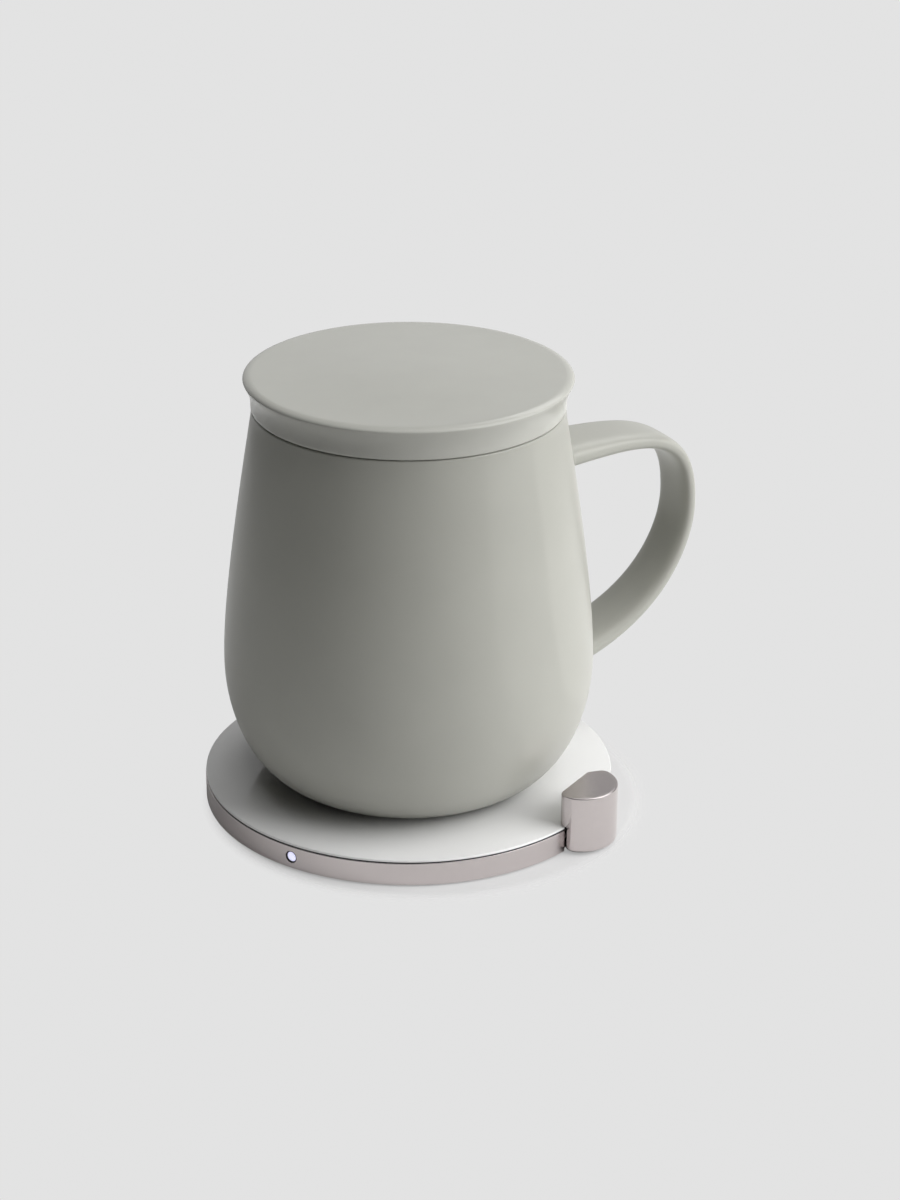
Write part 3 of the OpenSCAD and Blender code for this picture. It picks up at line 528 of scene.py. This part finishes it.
# %% Wall of the housing
INLET_H, INLET_LIFT, HOOK_ROW = 15.2, 0.3, 7  # height, gap below, and the row at which the upper part starts
INLET_ROUND, INLET_FOOT_ROUND = 0.4, 0.9
SLOT_Z, PATCH_Z, CELLS_Z = 9.12, 4.85, 24
TOP_MIDDLE = np.array([3.0, 0.0])  # point of the outline's plane at which the rows close
TOP_SHRINK, UNDER_SHRINK = np.linspace(1, 0, 7)[1:], np.array([0.0, 0.8])


def moved_in(line, by):
    """A closed outline moved inwards, across its own direction, by each of some distances: a row for each."""
    tangent = np.roll(line, -1, 0) - np.roll(line, 1, 0)
    outward = np.stack([tangent[:, 1], -tangent[:, 0]], axis=1)
    outward /= np.linalg.norm(outward, axis=1, keepdims=True)
    return line[None] - np.asarray(by, float)[:, None, None] * outward[None]


def shrunk(row, shares):
    """A row of the outline drawn in towards the closing point, to each of some shares of its size."""
    return TOP_MIDDLE + (row - TOP_MIDDLE) * shares[:, None, None]


def at_inlet(x, y, z):
    """Points given by distance from the flat side, along it, and height, turned to the housing's place."""
    out = INLET_FLAT + x
    c, s = np.cos(INLET_ANGLE), np.sin(INLET_ANGLE)
    return np.stack([out * c - y * s, out * s + y * c, z + 0 * x], -1)


foot_a = np.radians(np.linspace(90, 0, 6))
top_a = np.radians(np.linspace(0, 90, 8))
side_z = np.linspace(-PATCH_Z, PATCH_Z, CELLS_Z + 1)
wall_z = SLOT_Z + side_z
foot_z = PAD_STAND + INLET_LIFT + INLET_FOOT_ROUND * (1 - np.sin(foot_a))
low_in = np.concatenate([INLET_FOOT_ROUND * (1 - np.cos(foot_a)), np.zeros(HOOK_ROW + 1)])
hood_in = np.concatenate([np.zeros(CELLS_Z + 1 - HOOK_ROW), INLET_ROUND * (1 - np.cos(top_a))])
low_rows, hood_rows = moved_in(low_outline, low_in), moved_in(hood_outline, hood_in)
under_rows, top_rows = shrunk(low_rows[:1], UNDER_SHRINK), shrunk(hood_rows[-1:], TOP_SHRINK)
inlet_xy = np.concatenate([under_rows, low_rows, hood_rows, top_rows])
inlet_z = np.concatenate([
    np.full(len(under_rows), foot_z[0]), foot_z, wall_z[:HOOK_ROW + 1],
    wall_z[HOOK_ROW:], INLET_H - INLET_ROUND * (1 - np.sin(top_a)), np.full(len(top_rows), INLET_H),
])
inlet_grid = at_inlet(inlet_xy[..., 0], inlet_xy[..., 1], np.repeat(inlet_z[:, None], len(low_outline), 1))
slot_row = len(under_rows) + len(foot_a)
inlet_quads = without_cells(grid_quads(inlet_grid), len(low_outline), slot_row, CELLS_Z + 1, CELLS_X)
print("housing:", len(inlet_quads), "quads around the slot")

# %% [markdown]
# The slot for the power plug is a long hole with round ends, upright in the end of the housing that faces
# away. It is made as the hole in the ring is: a block of cells is left out, and rings of points lead from
# its frame to the line of the slot, then inwards to the socket.

# %% Slot in the housing
SLOT_T, SLOT_W = 3.4, 9.14
SLOT_EDGE, THROAT_STEP, THROAT_Y, SOCKET_Y = 0.15, 0.5, 7.3, 6.3  # rows of the throat, towards the socket

side_x = np.linspace(PATCH_X, -PATCH_X, CELLS_X + 1)
slot_frame = np.vstack([
    np.stack([side_x[:-1], np.full(CELLS_X, -PATCH_Z)], axis=1),
    np.stack([np.full(CELLS_Z, -PATCH_X), side_z[:-1]], axis=1),
    np.stack([side_x[:0:-1], np.full(CELLS_X, PATCH_Z)], axis=1),
    np.stack([np.full(CELLS_Z, PATCH_X), side_z[:0:-1]], axis=1),
])
straight = (SLOT_W - SLOT_T) / 2
core = np.stack([np.zeros(len(slot_frame)), np.clip(slot_frame[:, 1], -straight, straight)], axis=1)
aim = slot_frame - core
slot_line = core + SLOT_T / 2 * aim / np.linalg.norm(aim, axis=1, keepdims=True)
blend = np.linspace(0, 1, 5)[:, None, None]
slot_patch = slot_frame * (1 - blend) + slot_line * blend
patch_x = SLOT_X + slot_patch[..., 0]
patch_grid = at_inlet(patch_x, far_end_y(patch_x), SLOT_Z + slot_patch[..., 1])
line_x, line_z = SLOT_X + slot_line[:, 0], SLOT_Z + slot_line[:, 1]
rim_y = far_end_y(line_x)
neck_y = np.minimum(rim_y - THROAT_STEP, THROAT_Y)
throat_y = np.stack([rim_y - SLOT_EDGE, neck_y, np.full(len(rim_y), SOCKET_Y)])
throat_grid = at_inlet(line_x + 0 * throat_y, throat_y, line_z + 0 * throat_y)
slot_grid = np.concatenate([patch_grid, throat_grid])
slot_quads = grid_quads(slot_grid, first=inlet_grid.shape[0] * inlet_grid.shape[1])
inlet_points = np.vstack([inlet_grid.reshape(-1, 3), slot_grid.reshape(-1, 3)])
all_quads = np.vstack([inlet_quads, slot_quads])
add_piece("inlet_housing", inlet_points, all_quads, "pad", "anodised", ["inlet_shell"])

# %% [markdown]
# ## Finishes
# Every finish starts from the Principled shader and gets its life from noise in the piece's own
# coordinates: a little mottling in the colour, a little unevenness in the gloss, and a fine bump. Plain
# colours would be quicker, but they look like plastic in a soft light. Values that are the same all over
# are set on the shader itself.

# %% Material helpers
finishes = {}
RAMP_LOW, RAMP_HIGH = 0.3, 0.7  # most of the noise lies between these
NOISE_DETAIL, NOISE_ROUGHNESS = 4.0, 0.5
GLOSS_CHANGE = 0.1  # share by which the roughness goes up and down
FINE, BUMP_STRENGTH = 6, 0.3  # the relief has so many times more waves than the colour


def noise(finish, scale):
    """Noise in the piece's own coordinates, so many waves to the metre."""
    nodes, links = finish.node_tree.nodes, finish.node_tree.links
    place = nodes.new("ShaderNodeTexCoord")
    wave = nodes.new("ShaderNodeTexNoise")
    wave.inputs["Scale"].default_value = scale
    wave.inputs["Detail"].default_value = NOISE_DETAIL
    wave.inputs["Roughness"].default_value = NOISE_ROUGHNESS
    links.new(place.outputs["Object"], wave.inputs["Vector"])
    return wave.outputs["Fac"]


def tint(finish, shader, factor, dark, light):
    """Base colour that runs from dark to light with a factor."""
    ramp = finish.node_tree.nodes.new("ShaderNodeValToRGB")
    low, high = ramp.color_ramp.elements
    low.position, high.position = RAMP_LOW, RAMP_HIGH
    low.color, high.color = (*dark, 1), (*light, 1)
    finish.node_tree.links.new(factor, ramp.inputs["Fac"])
    finish.node_tree.links.new(ramp.outputs["Color"], shader.inputs["Base Color"])


def gloss(finish, shader, factor, low, high):
    """Roughness that runs from low to high with a factor."""
    span = finish.node_tree.nodes.new("ShaderNodeMapRange")
    span.inputs["To Min"].default_value, span.inputs["To Max"].default_value = low, high
    finish.node_tree.links.new(factor, span.inputs["Value"])
    finish.node_tree.links.new(span.outputs["Result"], shader.inputs["Roughness"])


def bump(finish, shader, factor, height):
    """Fine relief from a factor, with its height in millimetres."""
    relief = finish.node_tree.nodes.new("ShaderNodeBump")
    relief.inputs["Strength"].default_value = BUMP_STRENGTH
    relief.inputs["Distance"].default_value = height * MM
    finish.node_tree.links.new(factor, relief.inputs["Height"])
    finish.node_tree.links.new(relief.outputs["Normal"], shader.inputs["Normal"])


def mottled(name, color, roughness, metallic=0.0, scale=300.0, change=0.06, relief=0.01):
    """A finish with slight changes of colour, gloss and relief about plain values, kept by slot name."""
    finish = bpy.data.materials.new(name)
    finish.use_nodes = True
    shader = finish.node_tree.nodes["Principled BSDF"]
    shader.inputs["Base Color"].default_value = (*color, 1)
    shader.inputs["Roughness"].default_value = roughness
    shader.inputs["Metallic"].default_value = metallic
    wave = noise(finish, scale)
    dark = tuple(c * (1 - change) for c in color)
    light = tuple(min(1.0, c * (1 + change)) for c in color)
    tint(finish, shader, wave, dark, light)
    gloss(finish, shader, wave, roughness * (1 - GLOSS_CHANGE), min(1.0, roughness * (1 + GLOSS_CHANGE)))
    bump(finish, shader, noise(finish, scale * FINE), relief)
    finishes[name] = finish
    return shader


# %% [markdown]
# Mug and lid share a grey-green satin glaze; the lid's copy is smoother and a little lighter, and that extra
# lightness is painted light that brightens its top, which faces the lamps above. The plate is white and
# polished like glass, so it has a higher index of refraction than the usual 1.5. Ring and housing are metal
# with a faint rosy tone and a very fine grain. The end of the light pipe glows a little.

# %% Finishes of the pieces that show
mottled("mug_glaze", (0.385, 0.385, 0.35), 0.32, scale=60.0, change=0.02, relief=0.004)
# painted light: the lid's glaze is lighter than the mug's same glaze, to brighten the lid's top
mottled("lid_glaze", (0.435, 0.435, 0.40), 0.22, scale=60.0, change=0.02, relief=0.004)
plate_shader = mottled("white_plate", (0.83, 0.83, 0.825), 0.05, scale=40.0, change=0.01, relief=0.0005)
plate_shader.inputs["IOR"].default_value = 1.65
mottled("anodised", (0.56, 0.515, 0.515), 0.24, 1.0, scale=900.0, change=0.02, relief=0.002)
mottled("dark_plastic", (0.02, 0.02, 0.021), 0.45, scale=700.0)
mottled("dark_rubber", (0.018, 0.018, 0.019), 0.7, scale=700.0)
mottled("foot_rubber", (0.05, 0.05, 0.05), 0.75, scale=500.0, change=0.15, relief=0.03)
mottled("grey_plastic", (0.16, 0.16, 0.165), 0.55, scale=900.0, change=0.08, relief=0.02)
mottled("steel", (0.62, 0.62, 0.63), 0.28, 1.0, scale=800.0)
mottled("silicone", (0.72, 0.72, 0.70), 0.6, scale=500.0)
led_shader = mottled("led_lens", (0.8, 0.82, 0.95), 0.3, scale=400.0, change=0.02)
led_shader.inputs["Emission Color"].default_value = (0.72, 0.72, 1.0, 1)
led_shader.inputs["Emission Strength"].default_value = 0.8
print("finishes outside:", len(finishes))

# %% [markdown]
# The works inside are seen only when the part is taken to pieces: copper, ferrite, a green board, black
# chips, metal cans and red wires. They use the same helper with its usual grain, because a reader should
# tell them apart by colour at a glance.

# %% Finishes of the works inside
mottled("heater", (0.06, 0.06, 0.065), 0.4, 0.6)
mottled("heater_cover", (0.36, 0.35, 0.32), 0.8, change=0.1, relief=0.03)
mottled("copper", (0.62, 0.28, 0.12), 0.3, 1.0)
mottled("pale_plastic", (0.72, 0.72, 0.68), 0.55)
mottled("ferrite", (0.035, 0.035, 0.04), 0.7, relief=0.03)
mottled("amber_film", (0.6, 0.3, 0.05), 0.2)
mottled("board", (0.015, 0.13, 0.05), 0.35)
mottled("chip_plastic", (0.015, 0.015, 0.016), 0.5)
mottled("can_metal", (0.5, 0.46, 0.34), 0.35, 1.0)
mottled("led_body", (0.8, 0.8, 0.72), 0.3)
mottled("wire_cover", (0.32, 0.02, 0.02), 0.35)
slot_of_node = {part["node"]: part["material_slot"] for part in frame["record"]["subparts"]}
for node_name, node in frame["nodes"].items():
    node.data.materials.clear()
    node.data.materials.append(finishes[slot_of_node[node_name]])
for piece, slot in slot_of_piece.items():
    piece.data.materials.append(finishes[slot])
print("finishes:", len(finishes))

# %% [markdown]
# ## Floor
# The picture is a cut-out on an even pale grey, with only a thin soft shadow close to the pad. The floor is
# a ring of pale paper, open under the pad, that fades out a short way from it: near the pad it keeps the
# shadow, and further out the grey behind shows through. Light that bounces off it meets a pale paper; the
# camera meets a darker one with a level of its own, which no shadow takes away, so that the shadow stays
# as faint as it is in the picture. From below the paper is clear, and the pad's underside can be seen.

# %% Floor
FLOOR_R, FLOOR_IN, FLOOR_EDGE_R, FLOOR_Z = 350, 46, 50, -0.02
FLOOR_COLS = 96
PAPER, PAPER_SEEN, PAPER_GLOW = (0.9, 0.9, 0.89, 1), (0.36, 0.36, 0.36, 1), (0.36, 0.36, 0.36, 1)
FADE_FROM, FADE_TO = 49.5, 55.5  # distances from the middle of the shadow
SHADOW_RIGHT, SHADOW_AWAY = 4.0, -3.0  # that middle, seen from the camera

floor_profile = [(FLOOR_R, FLOOR_Z), (FLOOR_EDGE_R, FLOOR_Z), (FLOOR_IN, FLOOR_Z)]
floor_grid = revolved(floor_profile, np.linspace(0, 2 * np.pi, FLOOR_COLS, endpoint=False))
floor_mesh = bpy.data.meshes.new("floor")
floor_mesh.from_pydata((floor_grid.reshape(-1, 3) * MM).tolist(), [], grid_quads(floor_grid).tolist())
floor = bpy.data.objects.new("floor", floor_mesh)
bpy.context.collection.objects.link(floor)
floor_finish = bpy.data.materials.new("floor")
floor_finish.use_nodes = True
floor_mesh.materials.append(floor_finish)
nodes, links = floor_finish.node_tree.nodes, floor_finish.node_tree.links
paper = nodes["Principled BSDF"]
paper.inputs["Roughness"].default_value = 1.0
paper.inputs["Specular IOR Level"].default_value = 0.0
paper.inputs["Emission Color"].default_value = PAPER_GLOW
path = nodes.new("ShaderNodeLightPath")
paper_tone = nodes.new("ShaderNodeMix")
paper_tone.data_type = "RGBA"
paper_tone.inputs["A"].default_value, paper_tone.inputs["B"].default_value = PAPER, PAPER_SEEN
links.new(path.outputs["Is Camera Ray"], paper_tone.inputs["Factor"])
links.new(path.outputs["Is Camera Ray"], paper.inputs["Emission Strength"])
links.new(paper_tone.outputs["Result"], paper.inputs["Base Color"])
print("floor:", len(floor_mesh.polygons), "faces")

# %% [markdown]
# The fade is a smooth step of the distance from the middle of the shadow. It makes the paper clear to the
# camera alone, so that the paper still sends light back to the mug and the ring. A larger floor in the
# same grey would do without the fade, but it would show where the light falls off.

# %% Fade of the floor
place = nodes.new("ShaderNodeTexCoord")
from_shadow = nodes.new("ShaderNodeVectorMath")
from_shadow.operation = "SUBTRACT"
from_shadow.inputs[1].default_value = from_view(SHADOW_RIGHT, SHADOW_AWAY, 0)
reach = nodes.new("ShaderNodeVectorMath")
reach.operation = "LENGTH"
fade = nodes.new("ShaderNodeMapRange")
fade.interpolation_type = "SMOOTHSTEP"
fade.inputs["From Min"].default_value, fade.inputs["From Max"].default_value = FADE_FROM * MM, FADE_TO * MM
side = nodes.new("ShaderNodeNewGeometry")
see_through = nodes.new("ShaderNodeMath")
see_through.operation = "MAXIMUM"
only_seen = nodes.new("ShaderNodeMath")
only_seen.operation = "MULTIPLY"
clear = nodes.new("ShaderNodeBsdfTransparent")
mix = nodes.new("ShaderNodeMixShader")
links.new(place.outputs["Object"], from_shadow.inputs[0])
links.new(from_shadow.outputs["Vector"], reach.inputs[0])
links.new(reach.outputs["Value"], fade.inputs["Value"])
links.new(fade.outputs["Result"], see_through.inputs[0])
links.new(side.outputs["Backfacing"], see_through.inputs[1])
links.new(see_through.outputs["Value"], only_seen.inputs[0])
links.new(path.outputs["Is Camera Ray"], only_seen.inputs[1])
links.new(only_seen.outputs["Value"], mix.inputs["Fac"])
links.new(paper.outputs["BSDF"], mix.inputs[1])
links.new(clear.outputs["BSDF"], mix.inputs[2])
links.new(mix.outputs["Shader"], nodes["Material Output"].inputs["Surface"])
print("floor fades from", FADE_FROM, "to", FADE_TO, "mm")

# %% [markdown]
# ## Backdrop
# The lid, the plate and the top of the housing look back at a pale wall behind them. A card stands there
# and shows only in reflections: the camera doesn't see it, and matt surfaces get no light from it. It
# gets darker towards its upper edge, so the lid keeps a soft change of tone.

# %% Backdrop
CARD_BACK, CARD_HALF, CARD_LOW, CARD_TOP = 700, 1000, -20, 520
CARD_TONE = (0.62, 0.62, 0.62, 1)
DIM_FROM, DIM_TO = 360, 500  # heights between which the card goes dark

card_mesh = bpy.data.meshes.new("backdrop")
card_edge = [(-CARD_HALF, CARD_LOW), (CARD_HALF, CARD_LOW), (CARD_HALF, CARD_TOP), (-CARD_HALF, CARD_TOP)]
card_mesh.from_pydata([tuple(from_view(x, CARD_BACK, z)) for x, z in card_edge], [], [(0, 1, 2, 3)])
card = bpy.data.objects.new("backdrop", card_mesh)
bpy.context.collection.objects.link(card)
card.visible_diffuse = False
card.visible_camera = False
card_finish = bpy.data.materials.new("backdrop")
card_finish.use_nodes = True
card_mesh.materials.append(card_finish)
nodes, links = card_finish.node_tree.nodes, card_finish.node_tree.links
place = nodes.new("ShaderNodeTexCoord")
height = nodes.new("ShaderNodeSeparateXYZ")
dim = nodes.new("ShaderNodeMapRange")
dim.interpolation_type = "SMOOTHSTEP"
dim.inputs["From Min"].default_value, dim.inputs["From Max"].default_value = DIM_FROM * MM, DIM_TO * MM
dim.inputs["To Min"].default_value, dim.inputs["To Max"].default_value = 1.0, 0.0
glow = nodes.new("ShaderNodeEmission")
glow.inputs["Color"].default_value = CARD_TONE
links.new(place.outputs["Object"], height.inputs["Vector"])
links.new(height.outputs["Z"], dim.inputs["Value"])
links.new(dim.outputs["Result"], glow.inputs["Strength"])
links.new(glow.outputs["Emission"], nodes["Material Output"].inputs["Surface"])
print("backdrop:", 2 * CARD_HALF, "mm wide")

# %% [markdown]
# ## Background
# The grey around the object is the world as the camera sees it. Reflections get a weak grey instead, so
# that no metal turns black from any side, and matt surfaces get nothing from it: all their light comes from
# the lamps.

# %% Background
BACKGROUND, REFLECTED = 0.767, 0.22

world = bpy.data.worlds.new("studio")
world.use_nodes = True
bpy.context.scene.world = world
nodes, links = world.node_tree.nodes, world.node_tree.links
seen = nodes.new("ShaderNodeBackground")
seen.inputs["Color"].default_value = (BACKGROUND, BACKGROUND, BACKGROUND, 1)
ambient = nodes["Background"]
ambient.inputs["Color"].default_value = (REFLECTED, REFLECTED, REFLECTED, 1)
path = nodes.new("ShaderNodeLightPath")
mix = nodes.new("ShaderNodeMixShader")
links.new(path.outputs["Is Glossy Ray"], ambient.inputs["Strength"])
links.new(path.outputs["Is Camera Ray"], mix.inputs["Fac"])
links.new(ambient.outputs["Background"], mix.inputs[1])
links.new(seen.outputs["Background"], mix.inputs[2])
links.new(mix.outputs["Shader"], nodes["World Output"].inputs["Surface"])
print("background:", BACKGROUND, "seen,", REFLECTED, "in reflections")

# %% [markdown]
# ## Lamps
# One large soft light stands on the right and makes the slow change from bright to dark round the mug.
# Smaller ones above, in front and behind fill the lid and the plate, and a weak one under the open floor
# shows the underside. The left gets almost nothing. The strongest two are each split in a pair at one
# place: one half shows in reflections and the other doesn't, which lights matt surfaces fully without a
# white glare on the lid or the plate.

# %% Lamps
KEY_PLACE, TOP_PLACE, MUG_MIDDLE = (800, -150, 400), (0, 0, 950), (0, 0, 50)


def softbox(name, place, aim, width, height, power, reflected=True):
    """An area light at a place in the view's directions, facing a point there, with sides in millimetres."""
    light = bpy.data.lights.new(name, "AREA")
    light.shape = "RECTANGLE"
    light.size, light.size_y, light.energy = width * MM, height * MM, power
    lamp = bpy.data.objects.new(name, light)
    lamp.location = from_view(*place)
    facing = from_view(*aim) - lamp.location
    lamp.rotation_euler = facing.to_track_quat("-Z", "Y").to_euler()
    lamp.visible_glossy = reflected
    bpy.context.collection.objects.link(lamp)
    print(name, power, "W")


softbox("key_right", KEY_PLACE, MUG_MIDDLE, 800, 900, 2.5)
softbox("key_fill", KEY_PLACE, MUG_MIDDLE, 800, 900, 8.6, reflected=False)
softbox("upper_right", (550, -100, 750), MUG_MIDDLE, 700, 700, 2.6)
softbox("front_right", (400, -450, 800), MUG_MIDDLE, 700, 700, 0.8)
softbox("top", TOP_PLACE, MUG_MIDDLE, 700, 700, 1.3)
softbox("top_fill", TOP_PLACE, MUG_MIDDLE, 700, 700, 2.6, reflected=False)
softbox("back_right", (330, 600, 640), (0, 0, 100), 500, 300, 1.0)
softbox("below", (0, 0, -150), (0, 0, 0), 200, 200, 0.15)

# %% [markdown]
# ## Colour view
# Standard view keeps the colours as they were set.

# %% Colour view
bpy.context.scene.view_settings.view_transform = "Standard"
